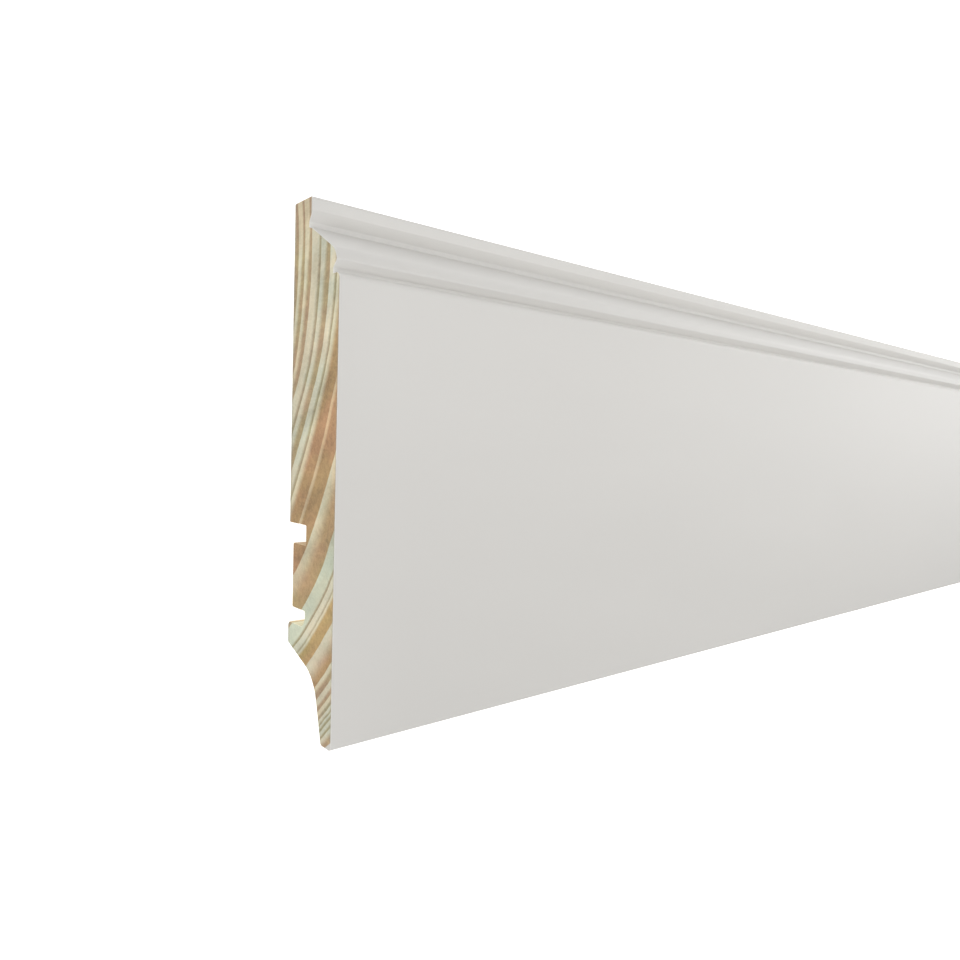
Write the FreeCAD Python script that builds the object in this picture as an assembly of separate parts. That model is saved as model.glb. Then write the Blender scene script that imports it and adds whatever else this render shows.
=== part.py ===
"""One length of moulded timber skirting board, drawn as it lies on its back.

The section is drawn by depth and height. Depth is measured back from the flat front face,
and height up from the bottom edge. The board lies with its back on the floor:
+X runs along the length, +Y from the bottom edge to the top edge, and +Z from the back to
the face. The origin is at the middle of the length and height, on the plane of the back.
"""

import math
import os

import FreeCAD
import Part

# Overall size of the length, in millimetres
LENGTH = 2400.0
HEIGHT = 90.0
THICKNESS = 16.0

# Lip along the top edge, undercut on its front, and the upright quirk under it
LIP_THICKNESS = 6.5
LIP_TOP_RADIUS = 0.6
LIP_FACE_HEIGHT = 2.3
LIP_UNDERCUT_HEIGHT = 1.7
LIP_UNDERCUT_DEPTH = 1.1
LIP_QUIRK_HEIGHT = 0.95

# Ogee: a hollow out of the quirk, a long ramp, and a round down to the nose of the bead
HOLLOW_START_DEGREES = 12.0
RAMP_DEGREES = 30.5
HOLLOW_RADIUS = 5.0
ROUND_RADIUS = 3.6
ROUND_END_DEGREES = 75.0
NOSE_SETBACK = 1.0
NOSE_DROP = 11.7
NOSE_RADIUS = 0.4

# Underside of the bead, the quirk below it, and the rounded shoulder of the flat face
BEAD_UNDERCUT_HEIGHT = 1.25
BEAD_UNDERCUT_DEPTH = 1.15
BEAD_QUIRK_HEIGHT = 0.8
SHOULDER_RADIUS = 1.2

# Thin toe at the bottom edge, rounded in front and behind, and the scoop behind it
TOE_THICKNESS = 3.4
TOE_FRONT_RADIUS = 0.7
TOE_BACK_RADIUS = 0.5
TOE_SLOPE_DEGREES = 75.0
SCOOP_HEIGHT = 14.4
SCOOP_SLOPE_DEGREES = 21.5
SCOOP_RADIUS = 7.3

# Foot above the scoop, and the two clip grooves with the set-back land between them
FOOT_HEIGHT = 3.7
FOOT_CORNER_RADIUS = 0.8
LOWER_GROOVE_HEIGHT = 2.8
LOWER_GROOVE_HEEL_RADIUS = 1.8
UPPER_GROOVE_HEIGHT = 3.4
GROOVE_DEPTH = 6.2
GROOVE_CORNER_RADIUS = 0.3
LAND_HEIGHT = 11.2
LAND_SETBACK = 1.5

# Slight rounding of the arrises, and of the tight inner corners
ARRIS_RADIUS = 0.3
INNER_RADIUS = 0.15


def slope(degrees):
    """Direction down and out towards the front, at an angle below the level."""
    turn = math.radians(degrees)
    return -math.cos(turn), -math.sin(turn)


def meeting(start, start_way, end, end_way):
    """Point where the line through start along start_way meets the one through end."""
    across = start_way[0] * end_way[1] - start_way[1] * end_way[0]
    gap = end[0] - start[0], end[1] - start[1]
    run = (gap[0] * end_way[1] - gap[1] * end_way[0]) / across
    return start[0] + run * start_way[0], start[1] + run * start_way[1]


def front_corners():
    """Corners of the moulded front from the top edge down, each with its rounding."""
    lip = THICKNESS - LIP_THICKNESS
    lip_root = lip + LIP_UNDERCUT_DEPTH
    face_end = HEIGHT - LIP_FACE_HEIGHT
    quirk_top = face_end - LIP_UNDERCUT_HEIGHT
    quirk_foot = quirk_top - LIP_QUIRK_HEIGHT
    nose = NOSE_SETBACK, HEIGHT - NOSE_DROP
    bead_root = NOSE_SETBACK + BEAD_UNDERCUT_DEPTH
    bead_foot = nose[1] - BEAD_UNDERCUT_HEIGHT
    shoulder = bead_foot - BEAD_QUIRK_HEIGHT

    hollow_way = slope(HOLLOW_START_DEGREES)
    ramp_way = slope(RAMP_DEGREES)
    nose_way = slope(ROUND_END_DEGREES)
    turn = math.radians(RAMP_DEGREES - HOLLOW_START_DEGREES)
    reach = HOLLOW_RADIUS * math.tan(turn / 2)
    hollow = lip_root + reach * hollow_way[0], quirk_foot + reach * hollow_way[1]
    crown = meeting(hollow, ramp_way, nose, nose_way)

    return [
        (lip, HEIGHT, LIP_TOP_RADIUS),
        (lip, face_end, ARRIS_RADIUS),
        (lip_root, quirk_top, INNER_RADIUS),
        (lip_root, quirk_foot, INNER_RADIUS),
        (*hollow, HOLLOW_RADIUS),
        (*crown, ROUND_RADIUS),
        (*nose, NOSE_RADIUS),
        (bead_root, bead_foot, INNER_RADIUS),
        (bead_root, shoulder, INNER_RADIUS),
        (0.0, shoulder, SHOULDER_RADIUS),
    ]


def toe_corners():
    """Corners of the bottom edge and of the scoop behind it, up to the foot."""
    toe_back = TOE_THICKNESS, 0.0
    foot_bottom = THICKNESS, SCOOP_HEIGHT
    scoop = meeting(toe_back, slope(TOE_SLOPE_DEGREES), foot_bottom, slope(SCOOP_SLOPE_DEGREES))
    return [
        (0.0, 0.0, TOE_FRONT_RADIUS),
        (*toe_back, TOE_BACK_RADIUS),
        (*scoop, SCOOP_RADIUS),
        (*foot_bottom, ARRIS_RADIUS),
    ]


def back_corners():
    """Corners of the back from the foot up, round both clip grooves, to the top edge."""
    groove_floor = THICKNESS - GROOVE_DEPTH
    land = THICKNESS - LAND_SETBACK
    foot_top = SCOOP_HEIGHT + FOOT_HEIGHT
    lower_top = foot_top + LOWER_GROOVE_HEIGHT
    upper_bottom = lower_top + LAND_HEIGHT
    upper_top = upper_bottom + UPPER_GROOVE_HEIGHT
    return [
        (THICKNESS, foot_top, FOOT_CORNER_RADIUS),
        (groove_floor, foot_top, LOWER_GROOVE_HEEL_RADIUS),
        (groove_floor, lower_top, GROOVE_CORNER_RADIUS),
        (land, lower_top, ARRIS_RADIUS),
        (land, upper_bottom, ARRIS_RADIUS),
        (groove_floor, upper_bottom, GROOVE_CORNER_RADIUS),
        (groove_floor, upper_top, GROOVE_CORNER_RADIUS),
        (THICKNESS, upper_top, ARRIS_RADIUS),
        (THICKNESS, HEIGHT, ARRIS_RADIUS),
    ]


def end_point(depth, height):
    """A point of the section, on the plane of the board's near end."""
    return FreeCAD.Vector(-LENGTH / 2, height - HEIGHT / 2, THICKNESS - depth)


def rounding(before, corner, after, radius):
    """Start, middle and end of the arc that rounds a corner."""
    back = (before - corner).normalize()
    ahead = (after - corner).normalize()
    half_angle = back.getAngle(ahead) / 2
    reach = radius / math.tan(half_angle)
    inward = (back + ahead).normalize()
    centre = corner + inward * (radius / math.sin(half_angle))
    return corner + back * reach, centre - inward * radius, corner + ahead * reach


def rounded_outline(corners):
    """Closed wire round the section: straight sides, joined by an arc at each corner."""
    points = [end_point(depth, height) for depth, height, _ in corners]
    radii = [radius for _, _, radius in corners]
    count = len(points)
    arcs = [
        rounding(points[i - 1], points[i], points[(i + 1) % count], radii[i])
        for i in range(count)
    ]
    edges = []
    for i, (start, middle, end) in enumerate(arcs):
        next_start = arcs[(i + 1) % count][0]
        edges.append(Part.Arc(start, middle, end).toShape())
        edges.append(Part.LineSegment(end, next_start).toShape())
    return Part.Wire(edges)


def skirting_board():
    """The whole board: its rounded section, run along the length."""
    outline = rounded_outline(front_corners() + toe_corners() + back_corners())
    return Part.Face(outline).extrude(FreeCAD.Vector(LENGTH, 0, 0))


os.makedirs("parts", exist_ok=True)
skirting_board().exportStep("parts/skirting_board.step")
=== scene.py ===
"""Moulded pine skirting board, lying on its back: satin paint in front, bare wood at back and ends.

Sizes are in millimetres, as on a joiner's drawing, and become metres when a mesh is made. The
section is drawn by depth back from the flat face and by height up from the bottom edge. Places
along the board are measured from the near end.
"""

import math
from collections import namedtuple

import bpy
import numpy as np
from mathutils import Matrix, Vector


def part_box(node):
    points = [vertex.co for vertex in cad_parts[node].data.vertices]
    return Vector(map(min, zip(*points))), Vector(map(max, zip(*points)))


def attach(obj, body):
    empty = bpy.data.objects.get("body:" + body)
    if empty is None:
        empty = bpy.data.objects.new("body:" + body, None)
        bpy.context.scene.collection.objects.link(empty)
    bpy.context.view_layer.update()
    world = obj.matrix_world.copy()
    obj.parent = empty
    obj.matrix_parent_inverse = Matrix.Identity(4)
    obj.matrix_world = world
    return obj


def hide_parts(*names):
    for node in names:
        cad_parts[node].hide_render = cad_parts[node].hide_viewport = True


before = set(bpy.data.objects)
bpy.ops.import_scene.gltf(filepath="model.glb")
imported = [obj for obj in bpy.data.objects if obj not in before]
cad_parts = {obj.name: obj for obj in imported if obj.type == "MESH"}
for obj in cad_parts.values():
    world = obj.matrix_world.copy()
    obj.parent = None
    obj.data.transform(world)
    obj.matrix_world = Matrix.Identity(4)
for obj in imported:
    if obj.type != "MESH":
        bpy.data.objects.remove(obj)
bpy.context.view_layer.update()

BOARD = "skirting_board"
MM = 0.001

# Overall size, from the CAD part's box
low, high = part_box(BOARD)
LENGTH, HEIGHT, THICKNESS = (high - low) / MM

# Lip along the top edge, undercut on its front, and the upright quirk under it
LIP_THICKNESS = 6.5
LIP_TOP_RADIUS = 0.6
LIP_FACE_HEIGHT = 2.3
LIP_UNDERCUT_HEIGHT = 1.7
LIP_UNDERCUT_DEPTH = 1.1
LIP_QUIRK_HEIGHT = 0.95

# Ogee: a hollow out of the quirk, a long ramp, and a round down to the nose of the bead
HOLLOW_START_DEGREES = 12.0
RAMP_DEGREES = 30.5
HOLLOW_RADIUS = 5.0
ROUND_RADIUS = 3.6
ROUND_END_DEGREES = 75.0
NOSE_SETBACK = 1.0
NOSE_DROP = 11.7
NOSE_RADIUS = 0.4

# Underside of the bead, the quirk below it, and the rounded shoulder of the flat face
BEAD_UNDERCUT_HEIGHT = 1.25
BEAD_UNDERCUT_DEPTH = 1.15
BEAD_QUIRK_HEIGHT = 0.8
SHOULDER_RADIUS = 1.2

# Thin toe at the bottom edge, rounded in front and behind, and the scoop behind it
TOE_THICKNESS = 3.4
TOE_FRONT_RADIUS = 0.7
TOE_BACK_RADIUS = 0.5
TOE_SLOPE_DEGREES = 75.0
SCOOP_HEIGHT = 14.4
SCOOP_SLOPE_DEGREES = 21.5
SCOOP_RADIUS = 7.3

# Foot above the scoop, and the two clip grooves with the set-back land between them
FOOT_HEIGHT = 3.7
FOOT_CORNER_RADIUS = 0.8
LOWER_GROOVE_HEIGHT = 2.8
LOWER_GROOVE_HEEL_RADIUS = 1.8
UPPER_GROOVE_HEIGHT = 3.4
GROOVE_DEPTH = 6.2
GROOVE_CORNER_RADIUS = 0.3
LAND_HEIGHT = 11.2
LAND_SETBACK = 1.5

# Slight rounding of the arrises, and of the tight inner corners
ARRIS_RADIUS = 0.3
INNER_RADIUS = 0.15

# How finely the skin is divided: points on each rounding, steps round the bare wood, stations
# along the length, and the broken arris of the two cut ends as distance from the end and inset
ARC_POINTS = 8
GRAIN_STEP = 0.55
STATION_STEP = 15.0
END_ARRIS = ((0.0, 0.05), (0.015, 0.015), (0.05, 0.0))

# The pith of the tree, as a place on the section behind the board
PITH_DEPTH = 75.0
PITH_HEIGHT = 81.55

# How the rings stray from circles: a swell low down the section, and a dip near the grooves
SWELL, SWELL_HEIGHT, SWELL_SPREAD = 0.83, 59.2, 4.85
DIP, DIP_TOP, DIP_BOTTOM, DIP_SPREAD = 0.2, 34.7, 22.7, 5.0

# A wave up the section, with the heights between which it moves. It fades out from the front
# between two depths, and in towards the back, where it ends between two heights
WAVE_LENGTH, WAVE_START = 26.0, 41.5
WAVE_BOTTOM, WAVE_TOP = 22.0, 74.0
FRONT_WAVE, FRONT_WAVE_START, FRONT_WAVE_END = 0.2, 1.0, 6.0
BACK_WAVE, BACK_WAVE_START, BACK_WAVE_END = 0.25, 9.0, 15.0
BACK_WAVE_LOW, BACK_WAVE_HIGH = 62.0, 70.0

# The slow drift of the pith along the length: the size of each sine, and the length of its radian
DRIFTS = ((2.6, 610.0), (0.8, 173.0))


def screen(red, green, blue):
    """A screen colour from 0 to 255 as the linear colour that a shader takes."""
    share = np.array([red, green, blue]) / 255
    light = np.where(share <= 0.04045, share / 12.92, ((share + 0.055) / 1.055) ** 2.4)
    return (*light.tolist(), 1.0)


# Colours of the paint, which varies a little, and of the thin paint that laps onto the sawn end
PAINT = screen(207, 205, 201)
PAINT_WARM = screen(211, 209, 205)
PAINT_LAP = screen(183, 181, 176)

# The paint's orange peel and its uneven sheen: noise waves per millimetre, how much the length
# counts in them, the peel's relief in metres, and the least roughness and how far it rises
PEEL_FINENESS, PEEL_STRETCH, PEEL_RELIEF = 1.1, 0.7, 0.00001
SHEEN_FINENESS, SHEEN_STRETCH = 0.05, 0.3
PAINT_ROUGHNESS, PAINT_UNEVENNESS = 0.47, 0.06

# Colours of the wood: early wood's pale ones, and the late wood's browns
GREENISH = screen(179, 181, 161)
PALE = screen(183, 179, 159)
CREAM = screen(185, 177, 152)
PEACH = screen(179, 157, 126)
OLIVE = screen(149, 131, 101)
GREY = screen(142, 132, 105)
ORANGE = screen(151, 122, 87)
OCHRE = screen(154, 131, 95)
GOLDEN = screen(161, 137, 92)

# Tints of the broad patches, from cool to warm, for early wood and for late wood
COOL_EARLY, WARM_EARLY = (0.965, 1.01, 1.02, 1.0), (1.045, 0.985, 0.93, 1.0)
COOL_LATE, WARM_LATE = (0.985, 1.03, 0.95, 1.0), (1.045, 0.955, 0.985, 1.0)

# Growth rings from the pith outwards: where each ends, how wide its late wood is, how wide the
# fade into it is, how strong it is, the late wood's colour, and the early wood's before it
Ring = namedtuple("Ring", "end width fade strength late_colour early_colour")
RINGS = [Ring(*ring) for ring in (
    (52.9, 0.7, 1.4, 0.80, OLIVE, CREAM),
    (54.7, 0.6, 1.0, 0.70, OLIVE, CREAM),
    (56.6, 0.8, 1.3, 0.85, OLIVE, CREAM),
    (58.7, 0.6, 1.1, 0.80, OLIVE, CREAM),
    (60.65, 1.3, 1.1, 1.00, OLIVE, CREAM),
    (63.0, 0.75, 1.2, 1.00, OLIVE, CREAM),
    (65.5, 0.8, 1.3, 1.00, OLIVE, CREAM),
    (68.7, 0.3, 1.2, 1.00, GREY, PALE),
    (71.85, 1.0, 1.6, 1.00, OLIVE, PALE),
    (74.35, 0.25, 1.0, 1.00, GREY, PALE),
    (78.85, 2.5, 1.8, 1.00, ORANGE, CREAM),
    (83.5, 3.4, 0.85, 1.00, ORANGE, PEACH),
    (89.65, 2.1, 4.0, 1.00, OCHRE, CREAM),
    (93.2, 0.2, 0.6, 1.00, GREY, GREENISH),
    (94.7, 0.14, 0.5, 0.75, GREY, PALE),
    (97.75, 2.25, 0.6, 1.00, GOLDEN, CREAM),
    (102.05, 0.45, 3.4, 1.00, ORANGE, PALE),
    (103.85, 0.6, 0.8, 1.00, OLIVE, CREAM),
    (105.55, 0.4, 0.6, 1.00, OLIVE, PALE),
    (106.8, 0.3, 0.5, 1.00, GREY, CREAM),
    (107.65, 0.15, 0.4, 0.90, GREY, PALE),
    (108.45, 0.2, 0.45, 1.00, GREY, PALE),
    (109.5, 0.2, 0.45, 1.00, GREY, PALE),
    (111.7, 0.9, 1.1, 1.00, OLIVE, PALE),
    (113.1, 0.4, 0.9, 0.90, GREY, PALE),
    (114.6, 0.6, 1.0, 1.00, OLIVE, CREAM),
    (116.5, 0.7, 1.2, 1.00, OLIVE, CREAM),
)]

# How wide the sharp edge of a ring is, and how far the early wood lies below the late wood
RING_EDGE = 0.15
RAISED_GRAIN = 0.03

# The heights between which the late wood grows narrower towards the top edge, and the share of
# its width that is left there
NARROW_START, NARROW_END, NARROW_SHARE = 74.0, 86.0, 0.55

# The grain over the rings: noise waves per millimetre across the section, and how strongly they
# lighten and darken the wood, with what the late wood adds. The length counts for little in all
# of them, which draws them out into streaks, and the rays run out from the pith the same way
GRAIN_STRETCH, RAY_STRETCH = 0.02, 0.2
WOBBLE_FINENESS, WOBBLE = 0.35, 0.3
RAY_FINENESS, RAY = 2.2, 0.15
FIBRE_FINENESS, FIBRE, LATE_FIBRE = 3.2, 0.34, 0.24
MOTTLE_FINENESS, MOTTLE, LATE_MOTTLE = 1.0, 0.2, 0.35
PATCH_FINENESS, PATCH = 0.14, 0.95

# The broad warm and cool patches: their waves per millimetre, how far along their noise starts,
# how much the distance from the pith counts in it, and where it turns from cool to warm
WARMTH_FINENESS, WARMTH_START, WARMTH_STRETCH = 0.13, 40.0, 1.3
COOL_END, WARM_BEGINNING = 0.35, 0.65

# The bare wood's finish: its roughness, and how much smoother the late wood is, its gloss, its
# relief in metres, and the shares of the rings and of the fibres in that relief
WOOD_ROUGHNESS, LATE_SMOOTHNESS = 0.75, 0.1
WOOD_GLOSS = 0.25
SAWN_RELIEF, PLANED_RELIEF = 0.00004, 0.00002
RING_RELIEF, FIBRE_RELIEF = 0.6, 0.4

# The planed wood is lighter than the sawn end, partly by its own paler long grain and partly by
# painted light that makes its faces, above all the groove walls, look brightly lit. Its rings are
# fainter: they fade a share of the way to one tone
PLANED_PALE_AND_PAINTED_LIGHT = 1.55
PLANED_TONE = screen(190, 181, 158)
PLANED_SHARE = 0.45

# The sawn end is greyed in three places: soil next to the painted face, up to a height; painted
# shade along the back edge; and a darker patch at the foot's back corner, below the lower groove.
# For each: how deep, and how strong where it begins. Over the last stretch it fades out
SOIL_AND_SHADE = screen(138, 133, 124)
DARKENING_FADE = 1.0
FACE_SOIL_DEPTH, FACE_SOIL_TOP, FACE_SOIL = 0.6, 76.0, 0.5
BACK_PAINTED_SHADE_DEPTH, BACK_PAINTED_SHADE = 0.9, 0.6
FOOT_DARK_DEPTH, FOOT_DARK_HEIGHT, FOOT_DARK = 1.8, 1.1, 0.9

# Where paint laps onto the sawn end: at the toe, below a line that falls from the face by a
# slope, and at the lip, down to a height and back to a depth. Its edge is soft to both sides
LAP_EDGE = 0.1
LAP_HEIGHT, LAP_SLOPE = 1.5, 0.75
LIP_LAP_HEIGHT, LIP_LAP_DEPTH = 85.9, 9.95

# The camera, from the bottom front corner of the near end: before the end, in front of the face
# and above the bottom edge, then its turn towards the far end, its tilt down and its roll
CAMERA_BEFORE, CAMERA_FRONT, CAMERA_ABOVE = 57.7, 104.8, 50.0
CAMERA_TURN, CAMERA_TILT, CAMERA_ROLL = 39.77, 2.75, 1.68
CAMERA_LENS = 28.02

# Lamps in three groups, all turned to one place on the near part of the board. Each group has its
# distance from there and its lamps' size, all in metres. Each lamp has the direction it stands
# in, as degrees round from the far end and up from the floor, and its power in watts. The distant
# ones stand beyond the far end and give the paint its sheen. The middle ones light the sawn end
# and the board before it. The close ones stand just above the board, so their light falls off
# from its top edge to its bottom edge
LAMP_TARGET = Vector((-1.05, 0.0, 0.016))
LAMP_GROUPS = (
    (8.0, (2.2, 1.5), {
        "sheen_high": (10, 20, 17.6),
        "sheen_middle": (10, 12, 41.8),
        "sheen_low": (0, 7, 38.7),
        "sheen_low_beside": (30, 7, 57.1),
        "sheen_low_wide": (55, 7, 14.7),
    }),
    (2.6, (0.7, 0.5), {
        "key_before_the_near_end": (180, 45, 14.2),
        "key_before_the_bottom_edge": (225, 45, 14.5),
        "fill_before_the_near_end": (180, 20, 8.5),
        "fill_from_the_bottom_edge": (270, 45, 4.7),
        "low_before_the_near_end": (150, 7, 7.0),
    }),
    (0.45, (0.2, 0.15), {
        "over_the_top_edge": (90, 70, 0.44),
        "over_the_corner": (45, 60, 0.22),
        "over_the_board": (0, 70, 0.17),
    }),
)
SKY = 0.24

# The pale table under the board: half its width in metres, its colour, and its own faint light
FLOOR_HALF = 12.0
FLOOR_COLOUR = (0.6, 0.6, 0.6, 1.0)
FLOOR_GLOW = 0.8
WHITE = (1.0, 1.0, 1.0, 1.0)


class Signal:
    """A shader socket that takes part in Python sums. Each operator adds one Math node."""

    def __init__(self, shop, socket):
        self.shop, self.socket = shop, socket

    def math(self, operation, *others):
        values = dict(enumerate((self, *others)))
        return self.shop.node("Math", {"operation": operation}, values)

    def __add__(self, other):
        return self.math("ADD", other)

    def __sub__(self, other):
        return self.math("SUBTRACT", other)

    def __mul__(self, other):
        return self.math("MULTIPLY", other)

    def __truediv__(self, other):
        return self.math("DIVIDE", other)

    def __rsub__(self, other):
        return (self * -1.0).math("ADD", other)

    __radd__ = __add__
    __rmul__ = __mul__


class ShaderMaths:
    """The few functions that the wood's formula needs, on shader signals."""

    @staticmethod
    def sin(signal):
        return signal.math("SINE")

    @staticmethod
    def tanh(signal):
        return signal.math("TANH")

    @staticmethod
    def sqrt(signal):
        return signal.math("SQRT")

    @staticmethod
    def angle(rise, run):
        return rise.math("ARCTAN2", run)

    @staticmethod
    def hold(signal, least, most):
        return signal.shop.node("Clamp", {}, {"Value": signal, "Min": least, "Max": most})

    @staticmethod
    def step(signal, start, end, before=0.0, after=1.0):
        values = {"Value": signal, 1: start, 2: end, 3: before, 4: after}
        return signal.shop.node("MapRange", {"interpolation_type": "SMOOTHSTEP"}, values)


class ArrayMaths:
    """The same functions on arrays. A step is 3t² - 2t³ from before to after, t held in 0 to 1."""

    sin, tanh, sqrt, hold = np.sin, np.tanh, np.sqrt, np.clip

    @staticmethod
    def step(array, start, end, before=0.0, after=1.0):
        share = np.clip((array - start) / (end - start), 0, 1)
        return before + (after - before) * share * share * (3 - 2 * share)


class Shop:
    """One material's node tree, and the one way in which nodes are added to it."""

    def __init__(self, name):
        self.material = bpy.data.materials.new(name)
        self.material.use_nodes = True
        self.tree = self.material.node_tree
        self.tree.nodes.clear()

    def node(self, kind, settings, values, output=0):
        """Adds a node, makes its settings, fills its sockets, and gives back one output."""
        made = self.tree.nodes.new("ShaderNode" + kind)
        for name, value in settings.items():
            setattr(made, name, value)
        for key, value in values.items():
            if isinstance(value, Signal):
                self.tree.links.new(value.socket, made.inputs[key])
            else:
                made.inputs[key].default_value = value
        return Signal(self, made.outputs[output]) if made.outputs else None

    def place(self):
        """Object coordinates in millimetres: along from the near end, height, and depth."""
        metres = self.node("TexCoord", {}, {}, "Object")
        x, y, z = (self.node("SeparateXYZ", {}, {"Vector": metres}, axis) for axis in "XYZ")
        return x / MM + LENGTH / 2, y / MM + HEIGHT / 2, THICKNESS - z / MM

    def at(self, x, y, z):
        return self.node("CombineXYZ", {}, {"X": x, "Y": y, "Z": z})

    def noise(self, place, scale, detail=2.0, roughness=0.5):
        """Fractal noise from 0 to 1, mostly near 0.5, its largest waves about 1 / scale wide."""
        values = {"Vector": place, "Scale": scale, "Detail": detail, "Roughness": roughness}
        return self.node("TexNoise", {}, values, "Fac")

    def mix(self, amount, first, second, blend="MIX"):
        """Colour between two colours: the first at 0 and the second, or their blend, at 1."""
        settings = {"data_type": "RGBA", "blend_type": blend}
        return self.node("Mix", settings, {0: amount, 6: first, 7: second}, 2)

    def shade(self, colour, amount):
        """A colour made lighter or darker by a factor."""
        return self.node("VectorMath", {"operation": "SCALE"}, {0: colour, "Scale": amount})

    def bump(self, height, distance):
        return self.node("Bump", {}, {"Height": height, "Distance": distance})

    def surface(self, values):
        shader = self.node("BsdfPrincipled", {}, values)
        self.node("OutputMaterial", {}, {"Surface": shader})
        return self.material


def from_pith(along, height, depth, maths):
    """A place across and up from the pith, which drifts sideways along the length.

    The drift is a sum of sines that starts at zero at the near end.
    """
    drift = sum(size * maths.sin(along / wave) for size, wave in DRIFTS)
    return PITH_DEPTH - depth + drift, height - PITH_HEIGHT


def pith_distance(along, height, depth, maths):
    """Distance of a place from the pith, bent by the tree's own waves.

    It is the plain distance across the section, plus a swell that comes in below a height and a
    dip between two heights, each a smooth tanh step. A sine wave in height is added near the
    back, below a height, and near the front face, where 1 - sine keeps it from falling below
    zero. Above and below two heights the wave keeps its value.
    """
    across, up = from_pith(along, height, depth, maths)
    distance = maths.sqrt(across * across + up * up)
    swell = SWELL * (1.0 + maths.tanh((SWELL_HEIGHT - height) / SWELL_SPREAD))
    dip_top = maths.tanh((height - DIP_TOP) / DIP_SPREAD)
    dip_bottom = maths.tanh((height - DIP_BOTTOM) / DIP_SPREAD)
    waving = maths.hold(height, WAVE_BOTTOM, WAVE_TOP) - WAVE_START
    wave = maths.sin(waving * (math.tau / WAVE_LENGTH))
    front = maths.step(depth, FRONT_WAVE_START, FRONT_WAVE_END, FRONT_WAVE, 0.0) * (1.0 - wave)
    back = maths.step(depth, BACK_WAVE_START, BACK_WAVE_END, 0.0, BACK_WAVE) * wave
    back = back * maths.step(height, BACK_WAVE_LOW, BACK_WAVE_HIGH, 1.0, 0.0)
    return distance + swell + DIP * (dip_top - dip_bottom) + front + back


def narrowing(height, maths):
    """The share of its full width that the late wood has at a height."""
    return maths.step(height, NARROW_START, NARROW_END, 1.0, NARROW_SHARE)


def late_wood(distance, share, ring, maths):
    """How strong one ring's late wood is: a slow rise into it, and a sharp fall where it ends.

    It is a smooth step up over the fade, which ends one width before the ring's end, times a
    smooth step down at the ring's end. The share makes the width and the fade smaller.
    """
    rise = maths.step((distance - ring.end) / share, -ring.width - ring.fade, -ring.width)
    edge_start, edge_end = ring.end - RING_EDGE / 2, ring.end + RING_EDGE / 2
    fall = maths.step(distance, edge_start, edge_end, ring.strength, 0.0)
    return rise * fall


def slope(degrees):
    """Direction down and out towards the front, at an angle below the level."""
    turn = math.radians(degrees)
    return np.array([-math.cos(turn), -math.sin(turn)])


def meeting(start, start_way, end, end_way):
    """Point where the line through start along start_way meets the one through end."""
    run, _ = np.linalg.solve(np.stack([start_way, -end_way], 1), end - start)
    return start + run * start_way


def front_corners():
    """Corners of the moulded front from the top edge down, as depth, height and rounding."""
    lip = THICKNESS - LIP_THICKNESS
    lip_root = lip + LIP_UNDERCUT_DEPTH
    face_end = HEIGHT - LIP_FACE_HEIGHT
    quirk_top = face_end - LIP_UNDERCUT_HEIGHT
    quirk_foot = quirk_top - LIP_QUIRK_HEIGHT
    nose = np.array([NOSE_SETBACK, HEIGHT - NOSE_DROP])
    bead_root = NOSE_SETBACK + BEAD_UNDERCUT_DEPTH
    bead_foot = nose[1] - BEAD_UNDERCUT_HEIGHT
    shoulder = bead_foot - BEAD_QUIRK_HEIGHT
    turn = math.radians(RAMP_DEGREES - HOLLOW_START_DEGREES)
    reach = HOLLOW_RADIUS * math.tan(turn / 2)
    hollow = np.array([lip_root, quirk_foot]) + reach * slope(HOLLOW_START_DEGREES)
    crown = meeting(hollow, slope(RAMP_DEGREES), nose, slope(ROUND_END_DEGREES))
    return [
        (THICKNESS, HEIGHT, ARRIS_RADIUS),
        (lip, HEIGHT, LIP_TOP_RADIUS),
        (lip, face_end, ARRIS_RADIUS),
        (lip_root, quirk_top, INNER_RADIUS),
        (lip_root, quirk_foot, INNER_RADIUS),
        (*hollow, HOLLOW_RADIUS),
        (*crown, ROUND_RADIUS),
        (*nose, NOSE_RADIUS),
        (bead_root, bead_foot, INNER_RADIUS),
        (bead_root, shoulder, INNER_RADIUS),
        (0.0, shoulder, SHOULDER_RADIUS),
        (0.0, 0.0, TOE_FRONT_RADIUS),
    ]


def back_corners():
    """Corners of the bare back from the toe up, round the scoop and both clip grooves."""
    toe_back = np.array([TOE_THICKNESS, 0.0])
    foot_bottom = np.array([THICKNESS, SCOOP_HEIGHT])
    scoop = meeting(toe_back, slope(TOE_SLOPE_DEGREES), foot_bottom, slope(SCOOP_SLOPE_DEGREES))
    groove_floor = THICKNESS - GROOVE_DEPTH
    land = THICKNESS - LAND_SETBACK
    foot_top = SCOOP_HEIGHT + FOOT_HEIGHT
    lower_top = foot_top + LOWER_GROOVE_HEIGHT
    upper_bottom = lower_top + LAND_HEIGHT
    upper_top = upper_bottom + UPPER_GROOVE_HEIGHT
    return [
        (*toe_back, TOE_BACK_RADIUS),
        (*scoop, SCOOP_RADIUS),
        (*foot_bottom, ARRIS_RADIUS),
        (THICKNESS, foot_top, FOOT_CORNER_RADIUS),
        (groove_floor, foot_top, LOWER_GROOVE_HEEL_RADIUS),
        (groove_floor, lower_top, GROOVE_CORNER_RADIUS),
        (land, lower_top, ARRIS_RADIUS),
        (land, upper_bottom, ARRIS_RADIUS),
        (groove_floor, upper_bottom, GROOVE_CORNER_RADIUS),
        (groove_floor, upper_top, GROOVE_CORNER_RADIUS),
        (THICKNESS, upper_top, ARRIS_RADIUS),
    ]


def unit(vectors):
    return vectors / np.linalg.norm(vectors, axis=-1, keepdims=True)


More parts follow.
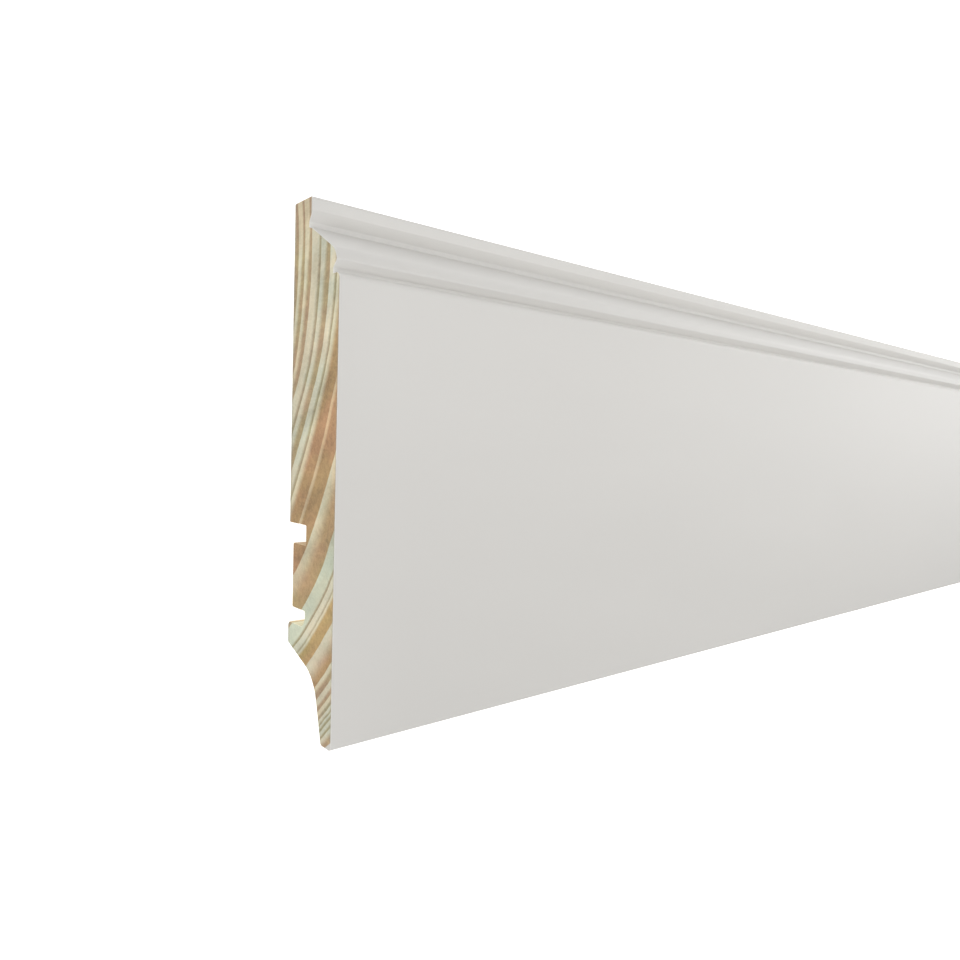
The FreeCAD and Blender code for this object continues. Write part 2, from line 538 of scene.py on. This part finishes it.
def rounded(corners):
    """Arcs that round the corners of a closed outline, as points: corner by point by place.

    An arc's centre lies on the corner's bisector, a radius from both sides. Its points turn
    evenly about the centre, from the foot of one side to the foot of the other.
    """
    places, radii = corners[:, :2], corners[:, 2:]
    back = unit(np.roll(places, 1, 0) - places)
    ahead = unit(np.roll(places, -1, 0) - places)
    half = np.arccos((back * ahead).sum(1, keepdims=True)) / 2
    centres = places + unit(back + ahead) * radii / np.sin(half)
    first = places + back * radii / np.tan(half) - centres
    last = places + ahead * radii / np.tan(half) - centres
    turn = (math.pi - 2 * half)[:, :, None]
    share = np.linspace(0, 1, ARC_POINTS)[None, :, None]
    spokes = np.sin((1 - share) * turn) * first[:, None] + np.sin(share * turn) * last[:, None]
    return centres[:, None] + spokes / np.sin(turn)


def outline():
    """The closed outline as places, and how far each lies from the paint, which is at zero.

    The arcs are joined by straight sides. On bare wood a side also has points at even steps
    round the outline, where no other point is near, so that its raised grain can be shaped.
    Paint ends in the middle of the toe's back arc and of the top edge's back arc.
    """
    front, back = front_corners(), back_corners()
    arcs = rounded(np.array(front + back))
    points = arcs.reshape(-1, 2)
    closed = np.concatenate([points, points[:1]])
    travel = np.concatenate([[0], np.cumsum(np.linalg.norm(np.diff(closed, axis=0), axis=1))])
    middles = travel[:-1].reshape(-1, ARC_POINTS)[:, ARC_POINTS // 2]
    paint_start, paint_end = middles[0], middles[len(front)]
    even = np.arange(paint_end, travel[-1], GRAIN_STEP)
    gap = np.abs(even[:, None] - travel).min(1)
    around = np.sort(np.concatenate([travel[:-1], even[gap > GRAIN_STEP / 2]]))
    places = np.stack([np.interp(around, travel, closed[:, axis]) for axis in (0, 1)], 1)
    from_paint = np.minimum(around - paint_end, travel[-1] + paint_start - around)
    from_paint = np.where(around < paint_start, paint_start - around, from_paint)
    return places, np.maximum(from_paint, 0)


def stations():
    """Places along the length: close together at the two ends, and evenly spaced between them."""
    ends = [along for along, _ in END_ARRIS]
    count = math.ceil((LENGTH - 2 * ends[-1]) / STATION_STEP)
    middle = np.linspace(ends[-1], LENGTH - ends[-1], count + 1)
    return np.concatenate([ends[:-1], middle, LENGTH - np.array(ends[-2::-1])])


def board_mesh():
    """The board's skin as one grid, round the outline by along the length, and its two ends.

    A point stands on the outline, moved in along its normal by two amounts: the broken arris
    of the cut ends, which depends on the length alone, and on bare wood the raised grain, where
    the soft early wood lies lower than the hard late wood. It comes in over the first millimetre
    from the paint.
    """
    section, from_paint = outline()
    step = np.roll(section, -1, 0) - np.roll(section, 1, 0)
    inward = unit(np.stack([-step[:, 1], step[:, 0]], 1))
    along = stations()
    rows, count = len(along), len(section)
    depth, height = section.T

    distance = pith_distance(along[:, None], height, depth, ArrayMaths)
    share = narrowing(height, ArrayMaths)
    late = sum(late_wood(distance, share, ring, ArrayMaths) for ring in RINGS)
    sunk = RAISED_GRAIN * np.clip(from_paint, 0, 1) * np.clip(1 - late, 0, 1)
    from_end = np.minimum(along, LENGTH - along)
    move = sunk + np.interp(from_end, *np.transpose(END_ARRIS))[:, None]
    depth = depth + inward[:, 0] * move
    height = height + inward[:, 1] * move
    along = np.broadcast_to(along[:, None], depth.shape)
    points = np.stack([along - LENGTH / 2, height - HEIGHT / 2, THICKNESS - depth], 2) * MM

    index = np.arange(rows * count).reshape(rows, count)
    after = np.roll(index, -1, 1)
    quads = np.stack([index[:-1], index[1:], after[1:], after[:-1]], 2).reshape(-1, 4)
    bare = (from_paint > 0) | (np.roll(from_paint, -1) > 0)
    slots = np.concatenate([np.tile(bare, rows - 1), [2, 2]]).astype(np.int32)
    mesh = bpy.data.meshes.new("board")
    ends = [index[0].tolist(), index[-1, ::-1].tolist()]
    mesh.from_pydata(points.reshape(-1, 3).tolist(), [], quads.tolist() + ends)
    mesh.polygons.foreach_set("material_index", slots)
    mesh.polygons.foreach_set("use_smooth", slots < 2)
    mesh.update()
    return mesh


def paint_material():
    """Satin off-white paint: a faint orange peel from the spray, and a slightly uneven sheen."""
    shop = Shop("satin_paint")
    along, height, depth = shop.place()
    peel = shop.noise(shop.at(along * PEEL_STRETCH, height, depth), PEEL_FINENESS, detail=3.0)
    broad = shop.noise(shop.at(along * SHEEN_STRETCH, height, depth), SHEEN_FINENESS)
    return shop.surface({
        "Base Color": shop.mix(broad, PAINT, PAINT_WARM),
        "Roughness": PAINT_ROUGHNESS + PAINT_UNEVENNESS * broad,
        "Normal": shop.bump(peel, PEEL_RELIEF),
    })


def ring_colours(shop, distance, height):
    """The wood's colour by its distance from the pith, and how much of it is late wood.

    Each ring begins with its early wood's colour, and fades into its late wood's.
    """
    share = narrowing(height, ShaderMaths)
    colour = RINGS[0].early_colour
    late, start = 0.0, 0.0
    for ring in RINGS:
        begun = ShaderMaths.step(distance, start - RING_EDGE / 2, start + RING_EDGE / 2)
        colour = shop.mix(begun, colour, ring.early_colour)
        band = late_wood(distance, share, ring, ShaderMaths)
        colour = shop.mix(band, colour, ring.late_colour)
        late = late + band
        start = ring.end
    return colour, late


def soil_and_shade(shop, colour, height, depth):
    """Greys the sawn end: soil by the face, painted shade along the back, a darker foot corner."""
    step = ShaderMaths.step
    face = step(height, FACE_SOIL_TOP - DARKENING_FADE, FACE_SOIL_TOP, 1.0, 0.0)
    face = face * step(depth, 0.0, FACE_SOIL_DEPTH, FACE_SOIL, 0.0)
    # Painted shade: grey along the sawn end's back edge
    back = step(depth, THICKNESS - BACK_PAINTED_SHADE_DEPTH, THICKNESS, 0.0, BACK_PAINTED_SHADE)
    # A darker grey patch at the foot's back corner, below the lower groove
    foot_top = SCOOP_HEIGHT + FOOT_HEIGHT
    foot = step(height, foot_top - FOOT_DARK_HEIGHT, foot_top, 0.0, FOOT_DARK)
    foot = foot * step(height, foot_top, foot_top + DARKENING_FADE, 1.0, 0.0)
    foot = foot * step(depth, THICKNESS - FOOT_DARK_DEPTH, THICKNESS)
    return shop.mix(face + back + foot, colour, SOIL_AND_SHADE)


def lapped(shop, colour, height, depth):
    """Thin paint that laps onto the sawn end, at the toe and at the lip."""
    step = ShaderMaths.step
    line = height + depth * LAP_SLOPE
    toe = step(line, LAP_HEIGHT - LAP_EDGE, LAP_HEIGHT + LAP_EDGE, 1.0, 0.0)
    lip = step(height, LIP_LAP_HEIGHT - LAP_EDGE, LIP_LAP_HEIGHT + LAP_EDGE)
    lip = lip * step(depth, LIP_LAP_DEPTH - LAP_EDGE, LIP_LAP_DEPTH + LAP_EDGE, 1.0, 0.0)
    return shop.mix(toe + lip, colour, PAINT_LAP)


def wood_material(name, sawn):
    """Pine by its distance from the pith: each ring from its early wood into its late wood.

    The same rings run through the whole board, so they are arcs on the cut ends and long bands
    on the back. Over them lie fibres along the length, rays that run out from the pith, a
    mottle, and broad patches that are lighter or darker and warmer or cooler.
    """
    shop = Shop(name)
    along, height, depth = shop.place()
    run = along * GRAIN_STRETCH
    section = shop.at(run, height, depth)
    wobble = shop.noise(section, WOBBLE_FINENESS, detail=3.0)
    distance = pith_distance(along, height, depth, ShaderMaths) + (wobble - 0.5) * WOBBLE
    across, up = from_pith(along, height, depth, ShaderMaths)
    turn = ShaderMaths.angle(up, across) * PITH_DEPTH
    ray = shop.noise(shop.at(run, distance * RAY_STRETCH, turn), RAY_FINENESS, detail=1.0)
    fibre = shop.noise(section, FIBRE_FINENESS, roughness=0.6)
    mottle = shop.noise(section, MOTTLE_FINENESS, detail=1.0)
    patch = shop.noise(shop.at(run, height, distance), PATCH_FINENESS)
    spread = shop.at(run + WARMTH_START, height, distance * WARMTH_STRETCH)
    warmth = shop.noise(spread, WARMTH_FINENESS)

    colour, late = ring_colours(shop, distance, height)
    warm = ShaderMaths.step(warmth, COOL_END, WARM_BEGINNING)
    early_tint = shop.mix(warm, COOL_EARLY, WARM_EARLY)
    late_tint = shop.mix(warm, COOL_LATE, WARM_LATE)
    colour = shop.mix(1.0, colour, shop.mix(late, early_tint, late_tint), "MULTIPLY")
    light = 1.0 + (fibre - 0.5) * (FIBRE + late * LATE_FIBRE) + (ray - 0.5) * RAY
    light = light + (mottle - 0.5) * (MOTTLE + late * LATE_MOTTLE) + (patch - 0.5) * PATCH
    if not sawn:
        colour = shop.mix(PLANED_SHARE, colour, PLANED_TONE)
        # Paler planed grain, brightened further by painted light
        light = light * PLANED_PALE_AND_PAINTED_LIGHT
    colour = shop.shade(colour, light)
    if sawn:
        colour = lapped(shop, soil_and_shade(shop, colour, height, depth), height, depth)
    relief = late * RING_RELIEF + fibre * FIBRE_RELIEF
    return shop.surface({
        "Base Color": colour,
        "Roughness": WOOD_ROUGHNESS - LATE_SMOOTHNESS * late,
        "Specular IOR Level": WOOD_GLOSS,
        "Normal": shop.bump(relief, SAWN_RELIEF if sawn else PLANED_RELIEF),
    })


def make_board():
    """The board in its three finishes: paint, planed wood and sawn ends."""
    mesh = board_mesh()
    mesh.materials.append(paint_material())
    mesh.materials.append(wood_material("planed_pine", False))
    mesh.materials.append(wood_material("sawn_end_grain", True))
    board = bpy.data.objects.new("board", mesh)
    bpy.context.scene.collection.objects.link(board)
    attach(board, "root")
    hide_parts(BOARD)


def make_floor():
    """A wide pale table that glows softly from inside, so that its shadows stay faint."""
    mesh = bpy.data.meshes.new("light_table")
    corners = [(x * FLOOR_HALF, y * FLOOR_HALF, 0) for x, y in ((-1, -1), (1, -1), (1, 1), (-1, 1))]
    mesh.from_pydata(corners, [], [(0, 1, 2, 3)])
    floor = bpy.data.objects.new("light_table", mesh)
    bpy.context.scene.collection.objects.link(floor)
    mesh.materials.append(Shop("white_acrylic").surface({
        "Base Color": FLOOR_COLOUR,
        "Roughness": 1.0,
        "Specular IOR Level": 0.0,
        "Emission Color": WHITE,
        "Emission Strength": FLOOR_GLOW,
    }))


def make_lamp(name, distance, size, round_degrees, up_degrees, power):
    """A soft box that faces the near part of the board from one direction."""
    turn, lift = math.radians(round_degrees), math.radians(up_degrees)
    way = Vector((math.cos(lift) * math.cos(turn), math.cos(lift) * math.sin(turn), math.sin(lift)))
    data = bpy.data.lights.new(name, "AREA")
    data.shape = "RECTANGLE"
    data.size, data.size_y = size
    data.energy = power
    lamp = bpy.data.objects.new(name, data)
    bpy.context.scene.collection.objects.link(lamp)
    lamp.rotation_mode = "QUATERNION"
    lamp.rotation_quaternion = (-way).to_track_quat("-Z", "Y")
    lamp.location = LAMP_TARGET + distance * way
    lamp.visible_camera = False


def make_sky():
    """Even white light from all round."""
    world = bpy.data.worlds.new("studio")
    world.use_nodes = True
    background = world.node_tree.nodes["Background"]
    background.inputs["Color"].default_value = WHITE
    background.inputs["Strength"].default_value = SKY
    bpy.context.scene.world = world


def make_camera():
    """The photograph's view: it looks down on the near end, turned towards the far end."""
    data = bpy.data.cameras.new("camera")
    data.lens = CAMERA_LENS
    data.sensor_width = 36.0
    data.clip_start = 0.005
    camera = bpy.data.objects.new("camera", data)
    bpy.context.scene.collection.objects.link(camera)
    place = Vector((
        -LENGTH / 2 - CAMERA_BEFORE,
        CAMERA_ABOVE - HEIGHT / 2,
        THICKNESS + CAMERA_FRONT,
    ))
    camera.matrix_world = (
        Matrix.Translation(place * MM)
        @ Matrix.Rotation(math.radians(-CAMERA_TURN), 4, "Y")
        @ Matrix.Rotation(math.radians(-CAMERA_TILT), 4, "X")
        @ Matrix.Rotation(math.radians(CAMERA_ROLL), 4, "Z")
    )
    bpy.context.scene.camera = camera


make_camera()
make_board()
make_floor()
make_sky()
for distance, size, lamps in LAMP_GROUPS:
    for lamp_name, aim in lamps.items():
        make_lamp(lamp_name, distance, size, *aim)
bpy.context.scene.view_settings.view_transform = "Standard"
